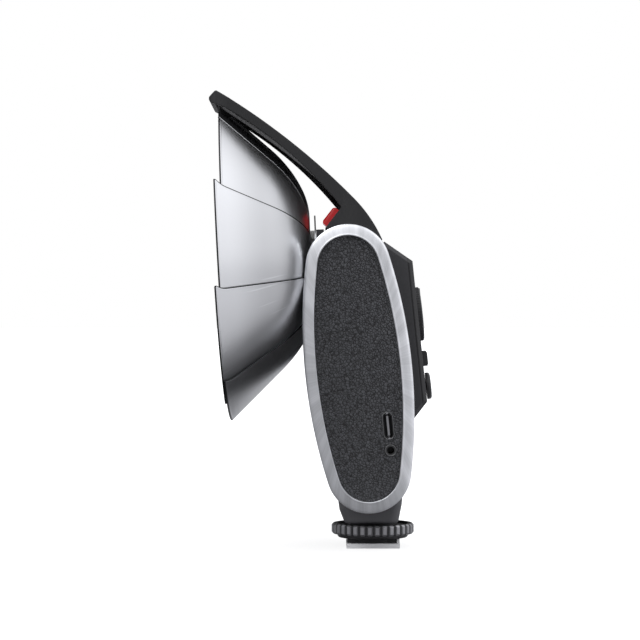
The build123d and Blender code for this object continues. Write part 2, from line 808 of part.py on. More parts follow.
ring_bottom = lock_bottom + seat_gap
lock_ring = Pos(0, 0, ring_bottom) * Cylinder(lock_radius, lock_top - ring_bottom, align=on_base)
lock_ring = chamfer(lock_ring.edges().filter_by(GeomType.CIRCLE), lock_edge)
flute = Cylinder(flute_radius, beyond)
flutes = [
    Rot(0, 0, 360 * i / lock_flutes) * Pos(lock_radius + flute_radius - flute_depth, 0) * flute
    for i in range(lock_flutes)
]
lock_ring -= flutes
lock_ring -= Pos(0, 0, lock_top) * Cylinder(lock_radius - lock_face_wall, 2 * lock_face_depth)
lock_ring -= Cylinder(stem_radius + stem_fit, beyond)
save(lock_ring, "lock_ring")
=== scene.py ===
import json
import math

import bmesh
import bpy
from mathutils import Matrix, Vector


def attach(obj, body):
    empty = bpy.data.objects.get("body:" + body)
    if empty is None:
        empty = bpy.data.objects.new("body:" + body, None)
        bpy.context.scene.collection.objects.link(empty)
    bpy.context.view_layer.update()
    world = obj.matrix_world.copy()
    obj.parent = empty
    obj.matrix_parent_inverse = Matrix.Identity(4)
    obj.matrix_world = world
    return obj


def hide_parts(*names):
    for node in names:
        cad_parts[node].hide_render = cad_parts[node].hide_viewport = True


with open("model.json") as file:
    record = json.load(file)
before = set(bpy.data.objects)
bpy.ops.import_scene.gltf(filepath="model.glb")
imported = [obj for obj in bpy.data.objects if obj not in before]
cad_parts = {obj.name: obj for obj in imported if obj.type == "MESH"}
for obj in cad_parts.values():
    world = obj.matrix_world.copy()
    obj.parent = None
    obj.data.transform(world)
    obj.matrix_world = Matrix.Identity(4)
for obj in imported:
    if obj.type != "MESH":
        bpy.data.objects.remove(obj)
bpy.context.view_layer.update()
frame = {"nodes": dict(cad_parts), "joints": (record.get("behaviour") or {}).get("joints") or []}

# Camera
# Level with the middle of the flash and square to its right side, 0.8 m away, as the
# photograph was taken.
flash_middle = (-0.01854, 0.0795)
camera = bpy.data.objects.new("camera", bpy.data.cameras.new("camera"))
bpy.context.scene.collection.objects.link(camera)
camera.location = (0.8, *flash_middle)
camera.rotation_euler = (math.pi / 2, 0, math.pi / 2)
camera.data.sensor_width = 36.0
camera.data.lens = 127.84
camera.data.clip_start = 0.01
bpy.context.scene.camera = camera
bpy.context.scene.view_settings.view_transform = "Standard"


# Studio
# A pale floor, broad light from above and one soft key light from the front. The surround is
# brightest behind the flash, where the satin leaves mirror it, and the camera sees it white.
class Value:
    """A number in a tree of nodes. Arithmetic on it adds Math nodes."""

    def __init__(self, tree, socket):
        self.tree = tree
        self.socket = socket

    def maths(self, operation, *others):
        """This number, and any others, through one Math node."""
        terms = dict(enumerate((self, *others)))
        return self.tree.node("ShaderNodeMath", {"operation": operation}, terms)

    def __add__(self, other):
        return self.maths("ADD", other)

    __radd__ = __add__

    def __sub__(self, other):
        return self.maths("SUBTRACT", other)

    def __rsub__(self, other):
        return self.tree.node("ShaderNodeMath", {"operation": "SUBTRACT"}, {0: other, 1: self})

    def __mul__(self, other):
        return self.maths("MULTIPLY", other)

    __rmul__ = __mul__

    def __pow__(self, other):
        return self.maths("POWER", other)

    def __abs__(self):
        return self.maths("ABSOLUTE")


class Tree:
    """A tree of nodes that is built one node at a time."""

    def __init__(self, node_tree):
        self.tree = node_tree

    def node(self, kind, settings=None, sockets=None, out=0):
        """Add a node: its settings first, then the values or links of its sockets."""
        made = self.tree.nodes.new(kind)
        for name, setting in (settings or {}).items():
            setattr(made, name, setting)
        for name, term in (sockets or {}).items():
            self.feed(made.inputs[name], term)
        return Value(self, made.outputs[out])

    def feed(self, socket, term):
        if isinstance(term, Value):
            self.tree.links.new(term.socket, socket)
        else:
            socket.default_value = term

    def ramp(self, amount, low, high, to_low=0.0, to_high=1.0):
        """Smooth step of an amount between two values."""
        sockets = {"Value": amount, "From Min": low, "From Max": high,
                   "To Min": to_low, "To Max": to_high}
        return self.node("ShaderNodeMapRange", {"interpolation_type": "SMOOTHSTEP"}, sockets)

    def along(self, vector, direction):
        """How far a vector reaches in a direction."""
        sockets = {0: vector, 1: direction}
        return self.node("ShaderNodeVectorMath", {"operation": "DOT_PRODUCT"}, sockets, "Value")

    def part(self, vector, axis):
        """One coordinate of a vector."""
        return self.node("ShaderNodeSeparateXYZ", sockets={0: vector}, out=axis)

    def joined(self, x, y=0.0, z=0.0):
        """A vector from three numbers."""
        return self.node("ShaderNodeCombineXYZ", sockets={0: x, 1: y, 2: z})

    def tones(self, amount, dark, light):
        """Colour from dark to light by amount."""
        sockets = {0: amount, 6: (*dark, 1), 7: (*light, 1)}
        return self.node("ShaderNodeMix", {"data_type": "RGBA"}, sockets, out=2)


class Finish(Tree):
    """A material of the flash, with patterns in the object's own coordinates."""

    def __init__(self, name, colour, roughness, metallic=0.0, **more):
        self.material = bpy.data.materials.new(name)
        self.material.use_nodes = True
        super().__init__(self.material.node_tree)
        self.shader = self.tree.nodes["Principled BSDF"]
        self.set("Base Color", (*colour, 1))
        self.set("Roughness", roughness)
        self.set("Metallic", metallic)
        for socket, value in more.items():
            self.set(socket.replace("_", " "), value)
        self.place = self.node("ShaderNodeTexCoord", out="Object")

    def set(self, socket, term):
        self.feed(self.shader.inputs[socket], term)

    def noise(self, scale, detail=2.0, place=None):
        sockets = {"Vector": place or self.place, "Scale": scale, "Detail": detail}
        return self.node("ShaderNodeTexNoise", sockets=sockets)

    def bump(self, height, depth, strength=1.0, edge=None):
        """Raise the surface by a height, and round the edges by a radius where one is given."""
        sockets = {"Height": height, "Distance": depth, "Strength": strength}
        if edge:
            sockets["Normal"] = self.node("ShaderNodeBevel", {"samples": 6}, {"Radius": edge})
        self.set("Normal", self.node("ShaderNodeBump", sockets=sockets))

    def on(self, *names):
        """Give this finish to nodes of the CAD model."""
        for name in names:
            slots = frame["nodes"][name].data.materials
            if not slots:
                slots.append(self.material)
            for index in range(len(slots)):
                slots[index] = self.material


floor_reach = 20.0
floor_corners = [(x * floor_reach, y * floor_reach, 0) for x, y in ((-1, -1), (1, -1), (1, 1), (-1, 1))]
floor_mesh = bpy.data.meshes.new("floor")
floor_mesh.from_pydata(floor_corners, [], [(0, 1, 2, 3)])
floor = bpy.data.objects.new("floor", floor_mesh)
bpy.context.scene.collection.objects.link(floor)
floor_paint = Finish("floor_paint", (0.3, 0.3, 0.305), 0.9, Emission_Strength=1.0)
# The floor is painted lighter behind the flash and darker in front of and under it, a painted pool of light
# that the leaves mirror.
behind_flash = floor_paint.along(floor_paint.place, (-0.3, 1, 0))
lit_behind = floor_paint.ramp(behind_flash, -0.01, 0.06)
floor_tones = floor_paint.tones(lit_behind, (0.19, 0.19, 0.195), (0.52, 0.52, 0.53))
floor_paint.set("Base Color", floor_tones)
looked_at = floor_paint.node("ShaderNodeLightPath", out="Is Camera Ray")
floor_paint.set("Emission Color", floor_paint.tones(looked_at, (0, 0, 0), (0.84, 0.84, 0.84)))
floor_mesh.materials.append(floor_paint.material)

key = bpy.data.lights.new("key_light", "SUN")
key.energy = 1.4
key.angle = math.radians(45)
key_light = bpy.data.objects.new("key_light", key)
bpy.context.scene.collection.objects.link(key_light)
key_light.rotation_euler = Vector((-0.3, 0.5, -0.8)).to_track_quat("-Z", "Y").to_euler()

world = bpy.data.worlds.new("studio")
bpy.context.scene.world = world
world.use_nodes = True
surround = Tree(world.node_tree)
facing = surround.node("ShaderNodeTexCoord", out="Generated")
to_camera = surround.ramp(surround.along(facing, (1, 0, 0)), -0.9, 0.5, 0.07, 0.38)
to_back = surround.ramp(surround.along(facing, (-0.2, 0.97, 0.12)), 0.15, 1.0, 0.0, 0.74)
to_front = surround.ramp(surround.along(facing, (0.5, -0.8, 0.3)), 0.2, 1.0, 0.0, 0.34)
overhead = surround.ramp(surround.along(facing, (0.2, 0, 0.98)), 0.25, 0.9, 0.0, 0.7)
light = to_camera + to_back + to_front + overhead
cool_white = (0.985, 0.99, 1.02)
glow = surround.node("ShaderNodeVectorMath", {"operation": "SCALE"}, {0: cool_white, "Scale": light})
seen = surround.node("ShaderNodeLightPath", out="Is Camera Ray")
shade = surround.node("ShaderNodeMix", {"data_type": "RGBA"}, {0: seen, 6: glow, 7: (1, 1, 1, 1)}, out=2)
surround.feed(world.node_tree.nodes["Background"].inputs["Color"], shade)

# Shoe foot
# A bright machined steel plate under a black moulded block, held by four flush screws, with
# one brass contact in the middle of its insulator.
foot_steel = Finish("foot_steel", (0.97, 0.97, 0.98), 0.34, 0.1)
grain = foot_steel.noise(2500.0)
foot_steel.set("Roughness", 0.3 + grain * 0.08)
foot_steel.bump(grain, 0.000004, 0.2, edge=0.00025)
foot_steel.on("foot_plate")
screw_steel = Finish("screw_steel", (0.5, 0.5, 0.51), 0.3, 1.0)
screw_steel.set("Roughness", 0.24 + screw_steel.noise(1500.0) * 0.2)
screw_steel.on("foot_screws")
contact_brass = Finish("contact_brass", (0.78, 0.6, 0.28), 0.25, 1.0)
contact_brass.set("Roughness", 0.2 + contact_brass.noise(1800.0) * 0.2)
contact_brass.on("centre_contact")

# Casing
# The front shell, the neck and the foot's block and insulator are moulded in black plastic
# with a fine spark-eroded texture and softly rounded edges; the neck is a little glossier,
# and its black is painted lighter, a painted sheen.
casing_black = Finish("casing_black", (0.02, 0.02, 0.022), 0.5)
texture = casing_black.noise(2600.0)
clouds = casing_black.noise(60.0)
casing_black.set("Roughness", 0.44 + texture * 0.2)
casing_black.set("Base Color", casing_black.tones(clouds, (0.016, 0.016, 0.018), (0.025, 0.025, 0.027)))
casing_black.bump(texture, 0.00003, 0.3, edge=0.0004)
casing_black.on("front_shell", "foot_block", "contact_insulator")
# A lighter copy of the casing black, a painted sheen on the neck.
neck_black = Finish("neck_black", (0.09, 0.09, 0.096), 0.38)
neck_grain = neck_black.noise(2200.0)
neck_black.set("Roughness", 0.3 + neck_grain * 0.14)
neck_black.bump(neck_grain, 0.00002, 0.25, edge=0.0004)
neck_black.on("neck")

# Rear cover
# The rear half of the casing is one black moulding with a smoother back plate let in. The
# plate slopes from brow to sole, and a fine groove runs round it where the two meet.
MM = 0.001
rear_brow, rear_sole = (13.3, 99.8), (18.4, 51.4)
rear_lean = math.atan2(rear_sole[0] - rear_brow[0], rear_brow[1] - rear_sole[1])
rear_cos, rear_sin = math.cos(rear_lean), math.sin(rear_lean)
rear_reach = rear_brow[0] * rear_cos + rear_brow[1] * rear_sin
plate_depth = 1.7 * MM
cover_black = Finish("cover_black", (0.02, 0.02, 0.022), 0.5)
from_rear = cover_black.along(cover_black.place, (0, rear_cos, rear_sin)) - rear_reach * MM
into_plate = from_rear + plate_depth
plate = cover_black.ramp(into_plate, -0.05 * MM, 0.05 * MM)
# The fine groove is painted near black, a painted shade in the recess, and is also sunk by the bump.
shaded_groove = cover_black.ramp(abs(into_plate), 0.05 * MM, 0.22 * MM)
cover_grain = cover_black.noise(2600.0)
cover_tone = shaded_groove * (1.0 - plate * 0.7)
cover_black.set("Roughness", 0.46 + cover_grain * 0.18 - plate * 0.08)
cover_black.set("Base Color", cover_black.tones(cover_tone, (0.004, 0.004, 0.005), (0.028, 0.028, 0.031)))
cover_black.bump(shaded_groove + cover_grain * 0.1, 0.0002, 0.5, edge=0.0004)
cover_black.on("rear_cover")

# Lock ring
# A fluted ring and the washer that it clamps with, turned from aluminium and anodised black.
# The crests of the flutes are painted lighter and the hollows darker: painted highlight and shade.
flute_count = 34
flute_root, ring_rim = 13.2 * MM, 14.0 * MM
anodised = Finish("anodised_black", (0.17, 0.17, 0.18), 0.34, 0.85)
towards_x = anodised.along(anodised.place, (1, 0, 0))
towards_y = anodised.along(anodised.place, (0, 1, 0))
flute = (towards_y.maths("ARCTAN2", towards_x) * flute_count).maths("COSINE")
from_axis = (towards_x * towards_x + towards_y * towards_y) ** 0.5
# Stripes by the flutes, lighter and darker: a painted highlight and a painted shade.
flute_light_and_shade = anodised.ramp(flute, -0.5, 0.95, 1.0, 0.0) * anodised.ramp(from_axis, flute_root, ring_rim)
anodised.set("Base Color", anodised.tones(flute_light_and_shade, (0.05, 0.05, 0.052), (0.36, 0.36, 0.375)))
anodised.set("Roughness", 0.28 + anodised.noise(1600.0) * 0.14)
anodised.bump(anodised.noise(3000.0), 0.00001, 0.2, edge=0.00015)
anodised.on("lock_ring", "lock_washer")


# Side rings
# Two oval bezels cast in light alloy, with a crowned face that falls away to the outside and
# a fine raised lip round the leather. They are brushed across and lightly blasted.
def woven(loops, around=False):
    """Corners and faces of a skin over equal closed loops, joined end to end or capped."""
    size = len(loops[0])
    corners = [point for loop in loops for point in loop]
    faces = []
    for first in range(len(loops) if around else len(loops) - 1):
        here, there = first * size, (first + 1) % len(loops) * size
        for at in range(size):
            after = (at + 1) % size
            faces.append((here + at, here + after, there + after, there + at))
    if not around:
        for start in (0, (len(loops) - 1) * size):
            for at in range(size // 2 - 1):
                opposite = size - 1 - at
                faces.append((start + at, start + at + 1, start + opposite - 1, start + opposite))
    return corners, faces


def built(name, skins, finish, body, sharp=40, values=None):
    """Make one piece from skins of corners and faces and let it ride on a body."""
    corners, faces = [], []
    for skin_corners, skin_faces in skins:
        faces += [tuple(index + len(corners) for index in face) for face in skin_faces]
        corners += skin_corners
    mesh = bpy.data.meshes.new(name)
    mesh.from_pydata(corners, [], faces)
    for label, numbers in (values or {}).items():
        mesh.attributes.new(label, "FLOAT", "POINT").data.foreach_set("value", numbers)
    turned_out = bmesh.new()
    turned_out.from_mesh(mesh)
    bmesh.ops.recalc_face_normals(turned_out, faces=turned_out.faces)
    turned_out.to_mesh(mesh)
    turned_out.free()
    mesh.polygons.foreach_set("use_smooth", [True] * len(mesh.polygons))
    mesh.set_sharp_from_angle(angle=math.radians(sharp))
    mesh.materials.append(finish.material)
    piece = bpy.data.objects.new(name, mesh)
    bpy.context.scene.collection.objects.link(piece)
    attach(piece, body)
    return piece


half_depth, half_height, end_radius = 18.25, 49.5, 14.5
oval_middle = (-5.45, 62.9)
body_lean = math.radians(5.8)
end_centre = half_height - end_radius
flank_radius = (half_depth ** 2 - end_radius ** 2 + end_centre ** 2) / (2 * (half_depth - end_radius))
flank_centre = flank_radius - half_depth
flank_sweep = 2 * math.atan2(end_centre, flank_centre)
end_sweep = math.pi - flank_sweep


def oval_places(steps):
    """Places round the four-centre oval in even turns of each arc: centre, radius, direction."""
    places = []
    direction = -flank_sweep / 2
    for centre, radius, sweep in (
        ((-flank_centre, 0), flank_radius, flank_sweep), ((0, end_centre), end_radius, end_sweep),
        ((flank_centre, 0), flank_radius, flank_sweep), ((0, -end_centre), end_radius, end_sweep),
    ):
        places += [(centre, radius, direction + sweep * step / steps) for step in range(steps)]
        direction += sweep
    return places


def on_side(u, v, depth):
    """Point in metres in the leaning oval's own frame, at a depth across the body."""
    y = oval_middle[0] + u * math.cos(body_lean) - v * math.sin(body_lean)
    z = oval_middle[1] + u * math.sin(body_lean) + v * math.cos(body_lean)
    return (depth * MM, y * MM, z * MM)


satin_alloy = Finish("satin_alloy", (0.8, 0.81, 0.83), 0.34, 1.0)
centred = satin_alloy.node("ShaderNodeMapping", sockets={
    "Vector": satin_alloy.place, "Location": (0, -oval_middle[0] * MM, -oval_middle[1] * MM)})
across, upward = satin_alloy.part(centred, "Y"), satin_alloy.part(centred, "Z")
narrowness = 0.37
round_oval = (upward * narrowness).maths("ARCTAN2", across)
brushing = satin_alloy.noise(1.0, 3.0, satin_alloy.joined(round_oval * 60.0))
sheen_bands = satin_alloy.noise(1.0, 1.0, satin_alloy.joined(round_oval * 7.0))
blast = satin_alloy.noise(4200.0)
# The ring's colour is streaked round the oval: the fine streaks are brushing grain, the broad bands a painted
# sheen.
brush_grain_and_sheen = satin_alloy.ramp(brushing, 0.3, 0.7, 0.0, 0.3) + satin_alloy.ramp(sheen_bands, 0.3, 0.7, 0.0, 0.7)
satin_alloy.set("Base Color", satin_alloy.tones(brush_grain_and_sheen, (0.68, 0.69, 0.71), (0.93, 0.94, 0.97)))
satin_alloy.set("Roughness", 0.26 + blast * 0.08 + brushing * 0.08)
satin_alloy.bump(blast * 0.5 + brushing, 0.00002, 0.25)

# The section of a ring runs from the leather to the outside, as insets from the oval and
# depths across the body: a small round lip, a crowned face, a round shoulder and a bevel.
lip = ((4.0, 23.6), (4.0, 27.7), (3.92, 27.92), (3.76, 28.0), (3.6, 27.98), (3.45, 27.9))
crown = ((3.2, 27.84), (2.6, 27.72), (2.0, 27.59), (1.4, 27.44), (0.9, 27.3), (0.5, 27.14))
shoulder = ((0.22, 26.95), (0.06, 26.7), (0.0, 26.45))
bevel = ((0.12, 26.2), (2.9, 23.6))
ring_section = (*lip, *crown, *shoulder, *bevel)
for side, sign in (("left", -1), ("right", 1)):
    loops = []
    for (centre_u, centre_v), radius, direction in oval_places(48):
        loops.append([on_side(centre_u + (radius - inset) * math.cos(direction),
                              centre_v + (radius - inset) * math.sin(direction), sign * depth)
                      for inset, depth in ring_section])
    bezel = built("side_bezel_" + side, [woven(loops, around=True)], satin_alloy, "body", sharp=34)
    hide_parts("side_ring_" + side)

# Leatherette
# A dark grey sheet with a worm-like pebbled grain, glued on a moulded black panel at each
# side of the body.
casing_black.on("side_panel_left", "side_panel_right")
leatherette = Finish("leatherette", (0.04, 0.04, 0.043), 0.6)
drift_sockets = {"Vector": leatherette.place, "Scale": 500.0}
drift = leatherette.node("ShaderNodeTexNoise", sockets=drift_sockets, out="Color")
strayed = leatherette.node("ShaderNodeVectorMath", {"operation": "MULTIPLY_ADD"},
                           {0: drift, 1: (0.0011, 0.0011, 0.0011), 2: leatherette.place})
cells = leatherette.node("ShaderNodeTexVoronoi", {"feature": "DISTANCE_TO_EDGE"},
                         {"Vector": strayed, "Scale": 1100.0, "Randomness": 1.0}, out="Distance")
pebble = leatherette.ramp(cells, 0.0, 0.18)
# The grooves between the pebbles are painted near black, a painted shade in the creases, and the tops vary in
# tone at random.
pebble_shade_and_mottle = pebble * (0.3 + leatherette.noise(700.0, 0.0))
leatherette.set("Base Color", leatherette.tones(pebble_shade_and_mottle, (0.004, 0.004, 0.005), (0.074, 0.076, 0.083)))
leatherette.set("Roughness", 0.66 - pebble * 0.2)
leatherette.bump(pebble, 0.0002, 0.9)
leatherette.on("leather_left", "leather_right")


# Ports
# A drawn steel USB shell with its tongue and a blackened metal sync jack. Each has a thin
# metal rim pressed into the leather round it.
class Shaper(Tree):
    """A geometry tree with named inputs, one of them the Finish, that grows a plain mesh."""

    def __init__(self, name, kinds):
        super().__init__(bpy.data.node_groups.new(name, "GeometryNodeTree"))
        interface = self.tree.interface
        for label, kind in {**kinds, "Finish": "Material"}.items():
            interface.new_socket(label, in_out="INPUT", socket_type="NodeSocket" + kind)
        interface.new_socket("Shape", in_out="OUTPUT", socket_type="NodeSocketGeometry")
        self.inputs = self.tree.nodes.new("NodeGroupInput")

    def given(self, label):
        return Value(self, self.inputs.outputs[label])

    def end(self, shape):
        """Make the copies real, give them the finish and send them out."""
        real = self.node("GeometryNodeRealizeInstances", sockets={"Geometry": shape})
        sockets = {"Geometry": real, "Material": self.given("Finish")}
        coated = self.node("GeometryNodeSetMaterial", sockets=sockets)
        self.feed(self.tree.nodes.new("NodeGroupOutput").inputs["Shape"], coated)

    def grown(self, name, mesh, sizes, finish, body):
        """Run the tree on a mesh, keep the plain result and let it ride on a body."""
        seed = bpy.data.objects.new(name + "_seed", mesh)
        bpy.context.scene.collection.objects.link(seed)
        modifier = seed.modifiers.new("grow", "NODES")
        modifier.node_group = self.tree
        inputs = {**sizes, "Finish": finish.material}
        for item in self.tree.interface.items_tree:
            if item.in_out == "INPUT" and item.name in inputs:
                modifier[item.identifier] = inputs[item.name]
        evaluated = seed.evaluated_get(bpy.context.evaluated_depsgraph_get())
        piece = bpy.data.objects.new(name, bpy.data.meshes.new_from_object(evaluated))
        bpy.data.objects.remove(seed)
        bpy.context.scene.collection.objects.link(piece)
        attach(piece, body)
        return piece


def line_of(points, closed=False):
    """A mesh of one line through the points."""
    line = bpy.data.meshes.new("line")
    links = [(i, i + 1) for i in range(len(points) - 1)]
    if closed:
        links.append((len(points) - 1, 0))
    line.from_pydata(points, links, [])
    return line


wire = Shaper("round_wire", {"Path": "Geometry", "Thickness": "Float", "Sides": "Int"})
path = wire.node("GeometryNodeMeshToCurve", sockets={"Mesh": wire.given("Path")})
bar_sockets = {"Resolution": wire.given("Sides"), "Radius": wire.given("Thickness")}
bar = wire.node("GeometryNodeCurvePrimitiveCircle", sockets=bar_sockets)
tube_sockets = {"Curve": path, "Profile Curve": bar, "Fill Caps": True}
tube = wire.node("GeometryNodeCurveToMesh", sockets=tube_sockets)
wire.end(wire.node("GeometryNodeSetShadeSmooth", sockets={"Geometry": tube}))

port_u, usb_v, jack_v = 8.1, -20.3, -28.7
port_steel = Finish("port_steel", (0.16, 0.16, 0.165), 0.35, 1.0)
lean_cos, lean_sin = math.cos(body_lean), math.sin(body_lean)
tongue_reach = port_u + oval_middle[0] * lean_cos + oval_middle[1] * lean_sin
off_tongue = abs(port_steel.along(port_steel.place, (0, lean_cos, lean_sin)) - tongue_reach * MM)
tongue = port_steel.ramp(off_tongue, 0.34 * MM, 0.4 * MM, 1.0, 0.0)
# The shell's steel is painted near black, a painted shade inside the slot, with a lighter band on the tongue.
port_steel.set("Base Color", port_steel.tones(tongue, (0.04, 0.04, 0.042), (0.42, 0.42, 0.44)))
port_steel.set("Roughness", 0.3 + port_steel.noise(1500.0) * 0.15)
port_steel.on("usb_socket")
jack_black = Finish("jack_black", (0.07, 0.07, 0.072), 0.35, 0.8)
jack_black.set("Roughness", 0.3 + jack_black.noise(1500.0) * 0.15)
jack_black.on("sync_jack")

rim_metal = Finish("rim_metal", (0.2, 0.2, 0.205), 0.35, 0.8)
rim_metal.set("Roughness", 0.3 + rim_metal.noise(1500.0) * 0.15)
slot_radius, slot_rise, slot_depth = 1.75, 2.85, 26.82
jack_radius, jack_depth = 1.85, 27.1
slot_rim, jack_rim = [], []
for step in range(48):
    turn = 2 * math.pi * step / 48
    u, v = math.cos(turn), math.sin(turn)
    rise = slot_rise if turn < math.pi else -slot_rise
    slot_rim.append(on_side(port_u + slot_radius * u, usb_v + rise + slot_radius * v, slot_depth))
    jack_rim.append(on_side(port_u + jack_radius * u, jack_v + jack_radius * v, jack_depth))
rim_sizes = {"Thickness": 0.1 * MM, "Sides": 8}
wire.grown("usb_rim", line_of(slot_rim, closed=True), rim_sizes, rim_metal, "body")
wire.grown("jack_rim", line_of(jack_rim, closed=True), rim_sizes, rim_metal, "body")

# Rear controls
# The dial, the slide switch and the test button are moulded in a slightly smoother black.
# Fine ribs round the dial and across the switch give a thumb its hold.
casing_black.on("dial_encoder")
control_black = Finish("control_black", (0.024, 0.024, 0.026), 0.42)
control_black.set("Roughness", 0.34 + control_black.noise(2200.0) * 0.14)
control_black.bump(control_black.noise(2600.0), 0.00002, 0.2, edge=0.00025)
control_black.on("mode_dial", "power_slider", "test_button")

ribs = Shaper("ribs", {"Ribs": "Int", "Spread": "Float", "Rib": "Vector", "Ring": "Bool"})
count, spread = ribs.given("Ribs"), ribs.given("Spread")
circle = ribs.node("GeometryNodeMeshCircle", sockets={"Vertices": count, "Radius": spread})
row = ribs.node("GeometryNodeMeshLine", {"mode": "END_POINTS"}, {
    "Count": count, "Start Location": ribs.joined(spread * -1.0), "Offset": ribs.joined(spread)})
spots = ribs.node("GeometryNodeSwitch", {"input_type": "GEOMETRY"}, {
    "Switch": ribs.given("Ring"), "False": row, "True": circle})
outward = ribs.node("FunctionNodeAlignEulerToVector", {"axis": "X"}, {
    "Vector": ribs.node("GeometryNodeInputPosition")})
faced = ribs.node("GeometryNodeSwitch", {"input_type": "VECTOR"}, {
    "Switch": ribs.given("Ring"), "True": outward})
rib = ribs.node("GeometryNodeMeshCube", sockets={"Size": ribs.given("Rib")})
ribs.end(ribs.node("GeometryNodeInstanceOnPoints", sockets={
    "Points": spots, "Instance": rib, "Rotation": faced}))

rear_turn = Matrix(((-1, 0, 0), (0, -rear_sin, rear_cos), (0, rear_cos, rear_sin))).to_4x4()


def on_rear(height, lift):
    """Placement on the sloping rear face at a height, lifted off it, with local Z facing out."""
    depth = rear_brow[0] + (rear_brow[1] - height) * math.tan(rear_lean)
    spot = Vector((0, depth + lift * rear_cos, height + lift * rear_sin)) * MM
    return Matrix.Translation(spot) @ rear_turn


dial_height, dial_lift, slider_height, slider_lift = 81.5, 1.0, 65.9, 2.05
for name, sizes, place, body in (
    ("dial_ribs", {"Ribs": 60, "Spread": 9.32 * MM, "Rib": Vector((0.3, 0.42, 1.3)) * MM, "Ring": True},
     on_rear(dial_height, dial_lift), "mode_dial"),
    ("slider_ribs", {"Ribs": 7, "Spread": 4.2 * MM, "Rib": Vector((0.5, 4.2, 0.5)) * MM, "Ring": False},
     on_rear(slider_height, slider_lift), "power_slider"),
):
    piece = ribs.grown(name, bpy.data.meshes.new("none"), sizes, control_black, body)
    piece.data.transform(place)

# Dial numbers
# White printed numbers on the rear cover, in seven even turns round the dial. The ink is
# a thin raised film.
number_reach, number_size, ink = 12.2, 2.4, 0.02
print_white = Finish("print_white", (0.75, 0.75, 0.75), 0.5)
print_white.set("Roughness", 0.45 + print_white.noise(1500.0) * 0.1)
for index, number in enumerate(("1", "2", "4", "8", "16", "32", "64")):
    turn = math.radians(-135 + 45 * index)
    label = bpy.data.curves.new("number_" + number, "FONT")
    label.body = number
    label.size = number_size * MM
    label.align_x = "CENTER"
    label.align_y = "CENTER"
    label.extrude = ink * MM
    drawn = bpy.data.objects.new("drawn", label)
    bpy.context.scene.collection.objects.link(drawn)
    evaluated = drawn.evaluated_get(bpy.context.evaluated_depsgraph_get())
    figure = bpy.data.objects.new("number_" + number, bpy.data.meshes.new_from_object(evaluated))
    bpy.data.objects.remove(drawn)
    spot = Vector((number_reach * math.sin(turn), number_reach * math.cos(turn), 0)) * MM
    figure.data.transform(on_rear(dial_height, ink) @ Matrix.Translation(spot))
    figure.data.materials.clear()
    figure.data.materials.append(print_white.material)
    bpy.context.scene.collection.objects.link(figure)
    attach(figure, "body")

# Fan leaves
# Eight side leaves of thin sheet, pressed to a shallow bowl and brushed in arcs about the
# hub. Each turns on its eye between the hub disc and the nut, lies a little outside the one
# before it, and has its leading edge and its rim rolled to a fine bead.
hub_place = Vector(next(joint for joint in frame["joints"] if joint["name"] == "fan_fold")["pos_m"])
dish_tilt = math.radians(2.2)

sheet_dark, sheet_light = (0.012, 0.012, 0.013), (0.93, 0.94, 0.96)
leaf_sheet = Finish("leaf_sheet", sheet_light, 0.3, 1.0)
centred = leaf_sheet.node("ShaderNodeMapping", sockets={"Vector": leaf_sheet.place, "Location": -hub_place})
across, upward = leaf_sheet.part(centred, "X"), leaf_sheet.part(centred, "Z")
turn = abs(across).maths("ARCTAN2", upward)
reach = (across * across + upward * upward) ** 0.5
# Here turn is the angle from the top in radians and reach the distance from the hub in metres
arcs = leaf_sheet.noise(1.0, 3.0, leaf_sheet.joined(reach * 1400.0, turn * 2.0))
streak_noise = leaf_sheet.noise(1.0, 1.0, leaf_sheet.joined(reach * 60.0, turn * 24.0))
# Light streaks on the lower leaves, painted highlight streaks of reflected light, which are also roughened
# and raised a little.
highlight_streaks = leaf_sheet.ramp(streak_noise, 0.64, 0.8) * leaf_sheet.ramp(turn, 1.5, 1.7) * 0.8
# Lighter towards the rim and near the hub, painted light on the leaves.
painted_light_by_reach = leaf_sheet.ramp(reach, 0.041, 0.053, 0.0, 0.2) + leaf_sheet.ramp(reach, 0.026, 0.036, 0.22, 0.0)
# On the lower leaves, lighter towards the hub and darker at the rim: painted light and painted shade.
lower_light_and_shade = leaf_sheet.ramp(turn, 1.8, 2.4) * leaf_sheet.ramp(reach, 0.034, 0.05, 0.28, -0.16)
# The attribute edge_mm is the distance from the leading edge and the rim. Near it the sheet
# is painted dark, a painted shade in the seam, and then rolls to a bead. The lacquer covers
# where band is above 0, with a light line painted at its border, a painted highlight.
edge = leaf_sheet.node("ShaderNodeAttribute", {"attribute_name": "edge_mm"}, out="Fac")
# cut is the dark line along the edges: painted shade in the seam between the leaves.
cut = leaf_sheet.ramp(edge, 0.2, 0.45)
bead = leaf_sheet.ramp(abs(edge - 0.55), 0.0, 0.4, 1.0, 0.0)
band = leaf_sheet.node("ShaderNodeAttribute", {"attribute_name": "band"}, out="Fac")
lacquer = leaf_sheet.ramp(band, -0.05, 0.05)
# A light line painted at the border of the lacquer, a painted highlight.
line = leaf_sheet.ramp(abs(band + 0.25), 0.14, 0.28, 1.0, 0.0)
tone = cut * (0.66 + painted_light_by_reach + lower_light_and_shade + highlight_streaks * 0.26) * (1.0 - lacquer)
tone = tone.maths("MAXIMUM", line * 0.7)
leaf_sheet.set("Base Color", leaf_sheet.tones(tone, sheet_dark, sheet_light))
leaf_sheet.set("Metallic", (1.0 - lacquer) * (1.0 - line))
leaf_sheet.set("Roughness", 0.27 + arcs * 0.09 + highlight_streaks * 0.05)
leaf_sheet.bump(arcs * 0.05 + highlight_streaks * 0.25 + bead * 2.0, 0.00005, 0.5)

# A bowl in section is a flat root, two arcs and a straight flank. Its numbers are the depth
# of the root, then the radius of each arc and the slope at its end.
flat_root = 14.0
side_bowl = (0.7, 26.0, math.radians(29), 45.0, math.radians(47))


